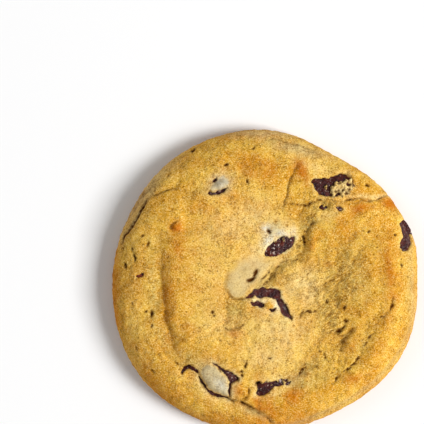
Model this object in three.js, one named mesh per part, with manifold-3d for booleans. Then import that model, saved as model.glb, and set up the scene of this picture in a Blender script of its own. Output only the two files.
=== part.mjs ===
// A soft-baked chocolate chip cookie, in millimetres, +Z up.
// It rests on its flat foot at z = 0, with the origin at the middle of its outline.
// One baked dough body holds chocolate chips, each in a pocket of its own: some break through
// the top or the edge, and some lie in the flat underside.
import * as THREE from "three";
import { mergeVertices } from "three/addons/utils/BufferGeometryUtils.js";
import Module from "manifold-3d";

// Driving dimensions of the dough.
const MEAN_RADIUS = 39.9;
const EDGE_HEIGHT = 3.2; // of the widest line round the edge
const TOP_HEIGHT = 12; // of the plain top, before its folds and mounds
const FOOT_SHARE = 0.94; // the flat foot's radius, as a share of the outline's
const EDGE_SHARPNESS = 8; // a higher power keeps the top level closer to the edge
const EDGE_ROUNDNESS = 0.5; // the power that rounds the top down into the edge
const DOUGH_COLOUR = 0xe3aa50;

// Driving dimensions of the chips.
const CHIP_GAP = 0.3; // between a chip and its pocket
const CHIP_PROUD = 0.4; // how far a chip stands out of the crust
const CHIP_COLOUR = 0x3c1f17;

// Facets.
const DOUGH_SEGMENTS = 88;
const UNDER_RINGS = 3; // from the foot to the widest line
const TOP_RINGS = 17; // from the widest line to the middle of the top
const CHIP_SEGMENTS = 16;

// Where the outline swells out or draws in: direction and spread in degrees, and how far.
const SWELLINGS = [
  { toward: 61, spread: 19, out: -2.2 },
  { toward: 14, spread: 8, out: 0.8 },
  { toward: 335, spread: 20, out: 1.1 },
  { toward: 292, spread: 20, out: -0.9 },
  { toward: 217, spread: 23, out: 1.1 },
  { toward: 158, spread: 20, out: -0.4 },
];

// Folds: the dough to the left of each line, walking along it, stands higher by lift.
// The step is as wide as width, and it sinks back into the top over reach.
const FOLDS = [
  {
    name: "left side of the plateau",
    lift: 1.7,
    width: 2.2,
    reach: 16,
    line: [[-26.5, 14], [-26, 8], [-25.4, 0], [-24.6, -8], [-23, -16], [-20, -20.5]],
  },
  {
    name: "upper left layer",
    lift: 1.6,
    width: 1.2,
    reach: 7,
    line: [[-20, 24.6], [-24, 24.3], [-28, 23], [-31.5, 20], [-34.5, 16], [-36.5, 12], [-37.6, 8]],
  },
  {
    name: "lower right ring",
    lift: 0.9,
    width: 1.6,
    reach: 6,
    line: [[33.5, -5], [31, -8.5], [29.5, -11.5], [27, -16.5], [24, -21.5], [20, -24.6], [9.5, -28]],
  },
  {
    name: "crease in from the right edge",
    lift: 0.9,
    width: 0.9,
    reach: 6,
    line: [[34.5, 22.4], [28, 21.9], [20, 21], [14, 20.2], [8, 19.8]],
  },
];

// Grooves: hollows along a line, deepest in the middle of their width.
const GROOVES = [
  {
    name: "left valley",
    width: 3.4,
    depth: 1.5,
    line: [[-27.5, 12], [-27, 2], [-26, -8], [-23.5, -16], [-20.5, -20]],
  },
  {
    name: "lower left crease",
    width: 1.3,
    depth: 1.0,
    line: [[-20.5, -22.3], [-16.5, -25.5], [-12.5, -29.7], [-8, -31.3], [-3, -33.8], [2, -37]],
  },
  {
    name: "crack in the middle",
    width: 1.6,
    depth: 0.9,
    line: [[0, 2.2], [4, 4.4], [8, 5.4], [11, 8.5], [10.6, 12], [12.6, 15.6]],
  },
];

// Mounds: soft oval swellings, size across each way, turned in degrees. A negative rise is a dip.
const MOUNDS = [
  { name: "left plateau", at: [-13, 4], size: [10, 16], turn: 0, rise: 0.6 },
  { name: "pale skin by the centre", at: [-3, 0.5], size: [7.5, 4.2], turn: 38, rise: 0.9 },
  { name: "right of the centre", at: [9.5, -0.5], size: [5, 5], turn: 0, rise: 0.8 },
  { name: "lower middle", at: [1, -15], size: [9, 8], turn: 0, rise: 0.7 },
  { name: "sunken right", at: [17, -5], size: [9, 15], turn: 10, rise: -1.9 },
  { name: "right ring", at: [33, 2], size: [2.6, 12], turn: 5, rise: 0.6 },
  { name: "upper right shoulder", at: [24, 15], size: [10, 7], turn: -10, rise: 0.7 },
  { name: "lower right knuckle", at: [22.2, -14.8], size: [4.2, 1.9], turn: 58, rise: 1.2 },
];

// Chips in the top and the edge: where the middle of the flat end is, then length, width and
// height, the way that the length is turned and how far the chip leans outwards, in degrees.
const TOP_CHIPS = [
  { name: "chip_upper_right", at: [17, 25.4], size: [10, 5.6, 5.5], turn: 12, lean: 6 },
  { name: "chip_upper_right_fragment", at: [17.3, 19.4], size: [5.4, 1.9, 3], turn: -4, lean: 0 },
  { name: "chip_centre", at: [3.9, 9.3], size: [8.2, 4.2, 5], turn: 31, lean: 0 },
  { name: "chip_hooked", at: [1.2, -5], size: [13, 6.6, 5.5], turn: -24, lean: 0 },
  { name: "chip_right_edge", at: [36.9, 11.6], size: [7.6, 3.4, 4], turn: 98, lean: 50 },
  { name: "chip_bottom", at: [2.2, -27.8], size: [9.8, 3.8, 5], turn: 16, lean: 4 },
  { name: "chip_lower_left", at: [-11.9, -26], size: [11.2, 7.2, 5.5], turn: -52, lean: 4 },
  { name: "chip_lower_left_sliver", at: [-19.3, -23.5], size: [4.6, 2.2, 3], turn: 8, lean: 4 },
  { name: "chip_upper_left", at: [-12.2, 24.9], size: [6.8, 5, 4.5], turn: 42, lean: 4 },
  { name: "chip_left_fleck", at: [-32.5, 1.7], size: [2.8, 1.6, 2], turn: 12, lean: 10 },
];

// Chips whose flat end lies in the underside.
const BASE_CHIPS = [
  { name: "chip_base_left", at: [-15, 7], size: [8.8, 8.2, 5], turn: 20 },
  { name: "chip_base_front", at: [9, -16], size: [9, 7.6, 5], turn: -35 },
  { name: "chip_base_right", at: [19, 12], size: [7.4, 6.8, 4.6], turn: 60 },
];

// The side of a drop, as shares of its half width and its height, from the flat end to the tip.
const DROP_SIDE = [[0, 0], [0.85, 0], [1, 0.14], [0.94, 0.36], [0.72, 0.64], [0.4, 0.88], [0, 1]];

const radians = THREE.MathUtils.degToRad;

// The outline's radius in a direction given in radians.
function outlineRadius(direction) {
  const facing = THREE.MathUtils.radToDeg(direction);
  let radius = MEAN_RADIUS;
  for (const { toward, spread, out } of SWELLINGS) {
    const away = THREE.MathUtils.euclideanModulo(facing - toward + 180, 360) - 180;
    radius += out * Math.exp(-((away / spread) ** 2));
  }
  return radius;
}

// How far a place is from a line of points, and whether it is on the line's left.
function besideLine(line, x, y) {
  const nearest = { distance: Infinity, onLeft: true };
  for (let i = 0; i + 1 < line.length; i++) {
    const [ax, ay] = line[i];
    const [dx, dy] = [line[i + 1][0] - ax, line[i + 1][1] - ay];
    const along = THREE.MathUtils.clamp(((x - ax) * dx + (y - ay) * dy) / (dx * dx + dy * dy), 0, 1);
    const distance = Math.hypot(x - ax - along * dx, y - ay - along * dy);
    if (distance < nearest.distance) {
      nearest.distance = distance;
      nearest.onLeft = dx * (y - ay) - dy * (x - ax) >= 0;
    }
  }
  return nearest;
}

// How far a place lies past an end of a line, along the line's own direction there.
function pastEnd(end, inner, x, y) {
  const [dx, dy] = [end[0] - inner[0], end[1] - inner[1]];
  return ((x - end[0]) * dx + (y - end[1]) * dy) / Math.hypot(dx, dy);
}

// 1 between a line's two ends, easing to 0 past either one.
function betweenEnds(line, x, y, ease) {
  const past = Math.max(pastEnd(line[0], line[1], x, y), pastEnd(line.at(-1), line.at(-2), x, y));
  return 1 - THREE.MathUtils.smoothstep(past, -ease, ease);
}

// The height that the folds, grooves and mounds add to the plain top.
function relief(x, y) {
  let height = 0;
  for (const { lift, width, reach, line } of FOLDS) {
    const { distance, onLeft } = besideLine(line, x, y);
    const step = onLeft ? (1 - Math.exp(-distance / width)) * Math.exp(-distance / reach) : 0;
    height += lift * step * betweenEnds(line, x, y, width);
  }
  for (const { width, depth, line } of GROOVES) {
    height -= depth * Math.exp(-((besideLine(line, x, y).distance / width) ** 2));
  }
  for (const { at, size, turn, rise } of MOUNDS) {
    const place = new THREE.Vector2(x - at[0], y - at[1]);
    place.rotateAround(new THREE.Vector2(), -radians(turn));
    height += rise * Math.exp(-((place.x / size[0]) ** 2) - (place.y / size[1]) ** 2);
  }
  return height;
}

// The plain top's height at a share of the outline's radius.
function plainTop(share) {
  const roundedDown = Math.max(0, 1 - share ** EDGE_SHARPNESS) ** EDGE_ROUNDNESS;
  return EDGE_HEIGHT + (TOP_HEIGHT - EDGE_HEIGHT) * roundedDown;
}

// The finished top's height over a place. The relief dies out where the top rounds down.
function topHeight(x, y) {
  const share = Math.min(1, Math.hypot(x, y) / outlineRadius(Math.atan2(y, x)));
  return plainTop(share) + relief(x, y) * (1 - share ** EDGE_SHARPNESS);
}

// The dough's side, from the foot's middle round the edge to the top's middle. Across is a share
// of the outline's radius, and up is a height.
function doughProfile() {
  const profile = [new THREE.Vector2(0, 0), new THREE.Vector2(FOOT_SHARE / 2, 0)];
  for (let i = 0; i <= UNDER_RINGS; i++) {
    const swing = ((i / UNDER_RINGS) * Math.PI) / 2;
    const across = FOOT_SHARE + (1 - FOOT_SHARE) * Math.sin(swing);
    profile.push(new THREE.Vector2(across, EDGE_HEIGHT * (1 - Math.cos(swing))));
  }
  for (let i = 1; i < TOP_RINGS; i++) {
    const share = Math.cos(((i / TOP_RINGS) * Math.PI) / 2);
    profile.push(new THREE.Vector2(share, plainTop(share)));
  }
  profile.push(new THREE.Vector2(0, plainTop(0)));
  return profile;
}

// The dough before its pockets: a round of revolution, stretched to the outline, with its top
// raised to the finished height.
function doughGeometry() {
  const geometry = new THREE.LatheGeometry(doughProfile(), DOUGH_SEGMENTS);
  geometry.rotateX(Math.PI / 2); // a lathe turns about Y, and the cookie stands along Z
  const position = geometry.attributes.position;
  const place = new THREE.Vector3();
  for (let i = 0; i < position.count; i++) {
    place.fromBufferAttribute(position, i);
    const onTop = place.z > EDGE_HEIGHT + 0.001;
    const radius = outlineRadius(Math.atan2(place.y, place.x));
    const [x, y] = [place.x * radius, place.y * radius];
    position.setXYZ(i, x, y, onTop ? topHeight(x, y) : place.z);
  }
  return geometry;
}

// A chocolate drop with its flat end down on z = 0. Grow swells it all round, for its pocket.
function dropGeometry([length, width, height], grow) {
  const side = DROP_SIDE.map(([across, up]) => new THREE.Vector2(across, up));
  const geometry = new THREE.LatheGeometry(side, CHIP_SEGMENTS);
  geometry.rotateX(Math.PI / 2);
  geometry.scale(length / 2 + grow, width / 2 + grow, height + 2 * grow);
  geometry.translate(0, 0, -grow);
  return geometry;
}

// A chip or its pocket in the top: flat end up, just out of the crust, leaning outwards.
function topChipGeometry({ at, size, turn, lean }, grow) {
  const alongEdge = new THREE.Vector3(-at[1], at[0], 0).normalize();
  const geometry = dropGeometry(size, grow);
  geometry.rotateX(Math.PI);
  geometry.rotateZ(radians(turn));
  geometry.applyMatrix4(new THREE.Matrix4().makeRotationAxis(alongEdge, radians(lean)));
  geometry.translate(at[0], at[1], topHeight(...at) + CHIP_PROUD);
  return geometry;
}

// A chip or its pocket in the underside: flat end down, level with the foot.
function baseChipGeometry({ at, size, turn }, grow) {
  const geometry = dropGeometry(size, grow);
  geometry.rotateZ(radians(turn));
  geometry.translate(at[0], at[1], 0);
  return geometry;
}

const wasm = await Module();
wasm.setup();

// A closed geometry as a solid, with the vertices that its seams repeat merged.
function toSolid(geometry) {
  const bare = geometry.clone();
  bare.deleteAttribute("normal");
  bare.deleteAttribute("uv");
  const merged = mergeVertices(bare, 1e-4);
  const vertProperties = new Float32Array(merged.attributes.position.array);
  const triVerts = new Uint32Array(merged.index.array);
  return new wasm.Manifold(new wasm.Mesh({ numProp: 3, vertProperties, triVerts }));
}

function toGeometry(solid) {
  const { vertProperties, triVerts } = solid.getMesh();
  const geometry = new THREE.BufferGeometry();
  geometry.setAttribute("position", new THREE.BufferAttribute(vertProperties, 3));
  geometry.setIndex(new THREE.BufferAttribute(triVerts, 1));
  geometry.computeVertexNormals();
  return geometry;
}

function namedMesh(name, geometry, color, roughness) {
  const mesh = new THREE.Mesh(geometry, new THREE.MeshStandardMaterial({ color, roughness, metalness: 0 }));
  mesh.name = name;
  return mesh;
}

const cookie = new THREE.Group();
let dough = toSolid(doughGeometry());

// Cuts a pocket for each chip and puts the chip in it.
function addChips(chips, chipGeometry) {
  for (const chip of chips) {
    dough = dough.subtract(toSolid(chipGeometry(chip, CHIP_GAP)));
    cookie.add(namedMesh(chip.name, chipGeometry(chip, 0), CHIP_COLOUR, 0.4));
  }
}

addChips(TOP_CHIPS, topChipGeometry);
addChips(BASE_CHIPS, baseChipGeometry);
cookie.add(namedMesh("dough", toGeometry(dough), DOUGH_COLOUR, 0.9));

export default cookie;
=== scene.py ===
import math

import bpy
import numpy as np
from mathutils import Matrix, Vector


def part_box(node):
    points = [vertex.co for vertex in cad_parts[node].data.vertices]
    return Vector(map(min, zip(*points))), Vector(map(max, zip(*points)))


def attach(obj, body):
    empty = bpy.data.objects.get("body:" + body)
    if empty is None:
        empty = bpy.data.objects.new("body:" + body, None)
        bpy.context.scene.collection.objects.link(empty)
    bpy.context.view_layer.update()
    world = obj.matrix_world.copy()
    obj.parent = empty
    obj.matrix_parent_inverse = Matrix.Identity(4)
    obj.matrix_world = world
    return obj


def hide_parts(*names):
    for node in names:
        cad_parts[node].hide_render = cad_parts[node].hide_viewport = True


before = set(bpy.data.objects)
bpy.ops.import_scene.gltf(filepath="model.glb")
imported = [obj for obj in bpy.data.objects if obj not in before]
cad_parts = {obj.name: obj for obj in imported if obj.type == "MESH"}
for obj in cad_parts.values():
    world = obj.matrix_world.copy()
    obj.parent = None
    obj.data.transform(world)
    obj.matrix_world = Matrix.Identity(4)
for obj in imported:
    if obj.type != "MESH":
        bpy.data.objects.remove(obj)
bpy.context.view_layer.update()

# ---------------------------------------------------------------------------------------------
# The dough: one scoop of soft dough, folded on itself, that spread and baked on a flat sheet.
# It set as a thick disc with a broad rounded rim. The folds stay as creases, what stands
# highest is browned most, and what was covered until it cracked open stays pale.
# ---------------------------------------------------------------------------------------------

MM = 0.001  # sizes here are in millimetres, seen from above, with the origin where the frame's is

MEAN_RADIUS = 39.75  # a little less than the frame's, so that the crumb stays inside its box
EDGE_HEIGHT = 3.2  # the height of the widest line
TOP_HEIGHT = 12.0
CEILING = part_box("dough")[1].z / MM - 0.1  # the highest that the crumb may stand
CEILING_SOFTNESS = 0.6  # how far below the ceiling the crumb starts to be held down
FOOT_SHARE = 0.94  # the flat foot's radius, as a share of the widest line's
EDGE_SHARPNESS = 8  # how far out the top stays level before it rounds down
EDGE_ROUNDNESS = 0.5  # 0.5 makes the top meet the widest line upright


def points(x, y, z):
    """Places, one to a row, from their coordinates. A coordinate may be one number for all."""
    return np.stack(np.broadcast_arrays(x, y, z), axis=1)


def around_centre(reach, direction, z):
    """Places at a reach from the centre line, in a direction in radians."""
    return points(reach * np.cos(direction), reach * np.sin(direction), z)


def bell(value, width):
    """1 where value is 0, and falling off on both sides of it over about width."""
    return np.exp(-((value / width) ** 2))


# The outline: direction and spread in degrees of each swelling, and how far out it reaches.
SWELLINGS = (
    (61, 19, -2.2),
    (14, 8, 0.8),
    (335, 20, 1.1),
    (292, 20, -0.9),
    (217, 23, 1.1),
    (158, 20, -0.4),
)


def outline_radius(direction):
    """The outline's radius in a direction in radians."""
    facing = np.degrees(direction)
    radius = np.full(facing.shape, MEAN_RADIUS)
    for toward, spread, out in SWELLINGS:
        away = (facing - toward + 180) % 360 - 180
        radius += out * bell(away, spread)
    return radius


def plain_top(share):
    """The plain top's height at a share of the outline's radius."""
    rounded = np.maximum(0, 1 - share**EDGE_SHARPNESS) ** EDGE_ROUNDNESS
    return EDGE_HEIGHT + (TOP_HEIGHT - EDGE_HEIGHT) * rounded


def smooth_line(points, closed=False, steps=6):
    """A smooth curve through points, as a denser list of points."""
    points = np.array(points, float)
    count = len(points)
    if closed:
        ahead = points[np.arange(-1, count + 2) % count]
    else:
        ahead = np.vstack([2 * points[0] - points[1], points, 2 * points[-1] - points[-2]])
    curve = []
    for before, start, end, after in zip(ahead, ahead[1:], ahead[2:], ahead[3:]):
        for t in np.arange(steps) / steps:
            bend = 2 * before - 5 * start + 4 * end - after + t * (3 * (start - end) + after - before)
            curve.append(start + 0.5 * t * (end - before + t * bend))
    curve.append(ahead[-2])
    return np.array(curve)


def beside_line(curve, x, y):
    """Each place's distance from a curve, whether it is on the curve's left, and the share of
    the curve walked at its nearest point."""
    steps = np.hypot(*np.diff(curve, axis=0).T)
    walked = np.concatenate([[0], np.cumsum(steps)]) / steps.sum()
    distance = np.full(x.shape, np.inf)
    left = np.zeros(x.shape, bool)
    share = np.zeros(x.shape)
    for i, (start, end) in enumerate(zip(curve, curve[1:])):
        dx, dy = end - start
        along = np.clip(((x - start[0]) * dx + (y - start[1]) * dy) / (dx * dx + dy * dy), 0, 1)
        away = np.hypot(x - start[0] - along * dx, y - start[1] - along * dy)
        nearer = away < distance
        distance = np.where(nearer, away, distance)
        left = np.where(nearer, dx * (y - start[1]) - dy * (x - start[0]) >= 0, left)
        share = np.where(nearer, walked[i] + along * (walked[i + 1] - walked[i]), share)
    return distance, left, share


def inside_depth(curve, x, y):
    """How deep each place is inside a closed curve, negative outside it."""
    distance, _, _ = beside_line(curve, x, y)
    inside = np.zeros(x.shape, bool)
    for (ax, ay), (bx, by) in zip(curve, curve[1:]):
        if ay != by:
            crosses = (ay > y) != (by > y)
            inside ^= crosses & (x < (bx - ax) * (y - ay) / (by - ay) + ax)
    return np.where(inside, distance, -distance)


def ease(value, low, high):
    """0 below low, 1 above high, and smooth between them."""
    share = np.clip((value - low) / (high - low), 0, 1)
    return share * share * (3 - 2 * share)


def patch(x, y, place):
    """A soft oval patch, 1 in its middle. Place is x, y, half length, half width, turn in degrees."""
    at_x, at_y, half_length, half_width, turn = place
    turned = math.radians(turn)
    along = (x - at_x) * math.cos(turned) + (y - at_y) * math.sin(turned)
    across = (y - at_y) * math.cos(turned) - (x - at_x) * math.sin(turned)
    return bell(along, half_length) * bell(across, half_width)


# Smooth noise, the same at every run: each cell of a scrambled grid leans its own way.
NOISE_CELLS = 256
NOISE_GAIN = 1.6
SEED_STRIDE = 37
rng = np.random.default_rng(7)
LEANINGS = rng.normal(size=(NOISE_CELLS, 3))
LEANINGS /= np.linalg.norm(LEANINGS, axis=1)[:, None]
SHUFFLE = rng.permutation(NOISE_CELLS)


def lattice(cells, seed):
    """A scrambled whole number, from 0 to below NOISE_CELLS, for each whole-numbered cell."""
    mixed = SHUFFLE[(cells[:, 0] + seed * SEED_STRIDE) % NOISE_CELLS]
    mixed = SHUFFLE[(mixed + cells[:, 1]) % NOISE_CELLS]
    return SHUFFLE[(mixed + cells[:, 2]) % NOISE_CELLS]


def lumps(places, size, seed):
    """Smooth noise of about -1 to 1, with lumps about size across. Size may differ by axis."""
    scaled = places / np.array(size, float)
    cells = np.floor(scaled).astype(int)
    part = scaled - cells
    eased = part**3 * (part * (part * 6 - 15) + 10)
    total = np.zeros(len(places))
    for corner in np.ndindex(2, 2, 2):
        leaning = LEANINGS[lattice(cells + corner, seed)]
        weight = np.prod(np.where(corner, eased, 1 - eased), axis=1)
        total += weight * ((part - corner) * leaning).sum(axis=1)
    return total * NOISE_GAIN


def pores(places, cell, radius, seed):
    """How deep each place is in a scatter of round pores: 1 in a pore's middle, 0 outside. There
    is one pore to a cell, moved and sized at random, and many are too small to count."""
    scaled = places / cell
    cells = np.floor(scaled).astype(int)
    depth = np.zeros(len(places))
    for step in np.ndindex(3, 3, 3):
        near = cells + step - 1
        moved = np.stack([lattice(near, seed + k) for k in range(3)], axis=1) / (NOISE_CELLS - 1)
        own_radius = radius / cell * (lattice(near, seed + 3) / (NOISE_CELLS - 1)) ** 2
        away = np.linalg.norm(near + moved - scaled, axis=1)
        depth = np.maximum(depth, 1 - away / np.maximum(own_radius, 1e-6))
    return depth


# Folds: the dough on the left of each line, walking along it, stands higher by lift. The step is
# as wide as width and sinks back over reach.
FOLDS = (
    # lift, width, reach, line
    (1.7, 2.3, 18, ((-27.4, 14), (-27, 8), (-26.6, 0), (-25.8, -8), (-24.2, -16), (-21, -20.5))),
    (
        1.6, 1.2, 7,
        ((-20, 24.6), (-24, 24.3), (-28, 23), (-31.5, 20), (-34.5, 16), (-36.5, 12), (-37.6, 8)),
    ),
    (0.9, 1.6, 6, ((33.5, -5), (31, -8.5), (29.5, -11.5), (27, -16.5), (24, -21.5), (20, -24.6), (9.5, -28))),
    (0.9, 0.9, 6, ((34.5, 22.4), (28, 21.9), (20, 21), (14, 20.2), (8, 19.8))),
    (0.7, 0.9, 5, ((9.6, 31.6), (8.4, 29.6), (7.2, 27.8), (6, 25), (5.6, 22), (4.6, 19), (5, 16))),
    (0.3, 0.8, 5, ((18.6, 16.4), (16.4, 14.6), (14.4, 13.4))),
    (0.6, 0.8, 4, ((-5.6, -11.2), (-8, -12), (-10.4, -11.6), (-11.4, -10.6))),
    (0.5, 0.7, 3, ((-6.4, -15), (-8.6, -16.2), (-11, -15.8), (-12.2, -14))),
    (0.8, 0.5, 3.5, ((24, -11.6), (22, -13), (21.1, -14.2), (20.3, -15.6), (20, -17.6))),
    (0.5, 0.8, 4, ((16.2, -22), (15.6, -19), (13.4, -16.6), (11.6, -13.6))),
)

# Mounds: x, y, half length, half width, turn, and the rise; a negative rise is a dip.
MOUNDS = (
    (-13, 4, 10, 16, 0, 0.6),
    (9.5, -0.5, 5, 5, 0, 0.8),
    (1, -15, 9, 8, 0, 0.7),
    (17.5, -5, 8, 15, 10, -1.2),
    (33, 2, 2.6, 12, 5, 0.6),
    (24, 15, 10, 7, -10, 0.7),
    (22.8, -15.6, 4.4, 1.8, 62, 0.3),
    (27.2, -15, 4.6, 1.2, 62, -0.4),
    (-22.9, 14.2, 0.95, 0.85, 0, 1.1),
    (12.2, 9.8, 1.3, 2.4, -15, 1.1),
    (4.8, 13.4, 2.6, 1.7, -15, 0.8),
    (-8.3, -13, 2.4, 0.9, 5, 0.6),
    (-7.6, -28.4, 2, 2.6, -10, 0.7),
    (28, -20, 3.5, 2.5, 50, 0.5),
    (14, -2.6, 2.6, 1.6, 30, 0.4),
    (12, -13, 2, 3, 20, 0.4),
    (20, 6, 3, 2, 40, -0.5),
    (27, 4, 2.4, 3.4, 20, 0.4),
    (26, -4, 2, 3, 10, -0.4),
    (16, 10, 2.4, 1.8, 0, 0.4),
    (-16, -15, 3, 4, 20, 0.4),
    (-1, 27, 5, 3, 0, 0.5),
)

# Soft grooves: half width, depth, line.
GROOVES = (
    (2.8, 0.9, ((-28, 12), (-27.6, 2), (-26.8, -8), (-24.6, -16), (-21.4, -20))),
    (
        1.3, 0.8,
        ((-24, -20), (-20.5, -22.6), (-16.5, -25.8), (-12.5, -30), (-8, -31.5), (-3, -33.8), (2, -37)),
    ),
    (1.4, 0.6, ((0.4, -0.6), (1.6, 2), (3.8, 4.4), (7, 5.8), (9.6, 7.2))),
    (0.6, 0.5, ((9.6, 7.2), (10.2, 10.6), (11.2, 13.6), (13.6, 16))),
    (1.0, 0.4, ((-9.8, -4.5), (-10, -8), (-10.6, -11.2))),
    (0.9, 0.5, ((-0.6, 36.9), (2.5, 37.1), (5.5, 36.8), (9.4, 35.3), (14.2, 34.2))),
    (1.2, 0.5, ((-36.6, 17), (-34, 21.2), (-30.6, 25), (-26.4, 28.6))),
    (1.3, 0.5, ((8, -25.6), (10, -22.6), (13, -21.4), (16, -22.4))),
)

# Creases: half width, depth, darkness, line. They are thin, and fade at their ends.
CREASES = (
    (0.45, 0.5, 0.7, ((-27.4, -16.2), (-25.4, -19), (-23.2, -21.3), (-21, -22.8))),
    (
        0.6, 0.2, 0.25,
        ((-26.4, 2), (-26.2, -4.2), (-25.8, -8.5), (-25, -12.9), (-23.9, -16.4), (-22.8, -19)),
    ),
    (0.4, 0.6, 0.8, ((-9.4, -30.3), (-6.3, -31.7), (-4.1, -32.9), (-1.9, -34.2), (0.4, -35.9), (3, -38))),
    (0.4, 0.5, 1.4, ((-11, -29.8), (-8.8, -30.6), (-6.8, -31.4), (-4.8, -32.2), (-3, -33.1))),
    (0.3, 0.4, 0.9, ((-7.2, -31), (-5, -31.8), (-3, -32.8), (-1, -33.9), (1, -35.4))),
    (0.45, 0.7, 2.2, ((-37.6, 9), (-36.6, 11.6), (-34.8, 14.2), (-32.8, 17.2), (-31, 19.9), (-29.2, 21.8))),
    (0.3, 0.35, 0.9, ((-29.2, 21.8), (-26.7, 23), (-24.4, 23.6), (-21.6, 24.1))),
    (0.4, 0.35, 0.45, ((-37.2, 13.6), (-35, 17.4), (-33, 20.6), (-30.4, 23.8), (-27.4, 26.6))),
    (
        0.3, 0.3, 0.45,
        ((-0.6, 36.9), (2.5, 37.1), (5.5, 36.8), (9.4, 35.3), (12, 34.7), (14.4, 34.1)),
    ),
    (
        0.3, 0.7, 1.1,
        ((19.6, 20.9), (22.4, 21.3), (25, 21.5), (27.6, 21.4), (29.6, 21.8), (31.4, 22.5), (33, 22.4)),
    ),
    (0.3, 0.5, 0.5, ((21.6, 20.4), (24, 20.5), (26.4, 21.0), (28.4, 21.0))),
    (
        0.35, 0.35, 0.5,
        ((9.2, 31.2), (8.4, 29.6), (7.2, 27.8), (6.2, 25.6), (5.8, 23), (4.8, 20), (4.6, 17.6)),
    ),
    (0.6, 1.0, 4.2, ((-2.5, 3.7), (-2.5, 2.4), (-3, 1.2), (-3.9, 0.4), (-5.2, 0.4))),
    (0.35, 0.4, 1.1, ((-11, -11.2), (-9.4, -12.1), (-7.5, -12), (-6, -11.6), (-4.8, -10.8))),
    (0.45, 0.6, 0.9, ((-4.5, -27), (-4.2, -28.6), (-4.7, -29.9), (-6, -30.9))),
    (0.8, 0.6, 0.7, ((23.4, -12.1), (22, -13), (21.1, -14.2), (20.2, -15.5), (20, -16.8))),
    (0.3, 0.35, 0.9, ((-24.1, 13), (-24.1, 14.4), (-23.4, 15.4), (-21.8, 15.5))),
)

# Cracks, torn open as the dough spread: like the creases, but ragged and broken.
CRACKS = (
    (
        0.3, 0.4, 1.5,
        ((5.6, 20.2), (8.4, 20), (9.8, 20.1), (10.7, 19.6), (12, 20.3), (13.6, 21.1), (16, 21.2), (19, 20.6)),
    ),
    (0.55, 0.9, 2, ((10.6, 13.4), (9.9, 12), (10.2, 10.7), (10.3, 9.4), (10.4, 8.4))),
    (0.4, 0.5, 0.8, ((10.4, 12.4), (11.2, 13.8), (12.2, 15), (13.2, 15.9))),
    (0.4, 0.4, 1.1, ((-1, -1.7), (0.6, 0.1), (1.7, 1.6), (2.8, 3.2), (4.2, 4.7), (6.2, 5.6))),
    (0.4, 0.3, 1.1, ((-1.4, -0.4), (-0.1, 1.2), (1.2, 2.7), (2.4, 4))),
    (0.35, 0.3, 0.6, ((-9.7, -5), (-10, -7), (-9.6, -9), (-10.8, -11))),
    (0.35, 0.3, 0.8, ((-12.2, -13.6), (-11.4, -15.4), (-9.3, -16.2), (-7.4, -15.4))),
    (0.4, 0.5, 0.8, ((20, -16.8), (19.7, -18), (20.3, -18.7))),
    (0.4, 0.4, 1.3, ((33, -3.6), (33.1, -5.8), (32.6, -7.4), (30.6, -8.6), (29.4, -9.6), (28.9, -11.6))),
    (0.4, 0.4, 1.3, ((28.9, -11.6), (28, -13.3), (26.3, -15.4), (25.5, -17.2))),
    (0.45, 0.6, 2.0, ((25.5, -17.2), (24.2, -19.8), (22.9, -21.5), (21.5, -23), (19.8, -24.2))),
    (0.4, 0.4, 1.4, ((19.8, -24.2), (18.2, -25.8), (17.6, -27.3))),
    (0.45, 0.6, 2.4, ((9.2, -9.4), (10.1, -7.9), (11.2, -7.6), (12.4, -7.8), (13.6, -7.5))),
    (0.3, 0.4, 0.8, ((14.2, -0.9), (15.9, -0.4), (17.3, 0.4))),
    (0.3, 0.35, 0.7, ((14.4, -2.6), (15.6, -1.7), (17, -1.2))),
    (0.4, 0.5, 1.3, ((12.2, -15.8), (13.8, -17.4), (15.4, -18.9), (15.8, -20.9))),
    (0.45, 0.6, 2.2, ((11.2, -20.8), (10.4, -22), (9.2, -23.6), (7.8, -25))),
    (0.3, 0.3, 0.8, ((16.4, -22.3), (17.6, -22.5), (18.8, -22.2))),
    (0.3, 0.3, 0.6, ((21.9, 9), (21.9, 10.6), (22.4, 11.8), (23.6, 12))),
    (0.3, 0.3, 0.5, ((5.4, -30.4), (6.8, -31.8), (8.4, -32.6))),
    (0.3, 0.3, 0.6, ((-34.3, 9.4), (-34, 7.6), (-33.8, 5.6), (-33.9, 4.4))),
    (0.3, 0.4, 1.2, ((16.4, -13.6), (17.4, -12.9), (18.8, -12.4))),
)

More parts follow.
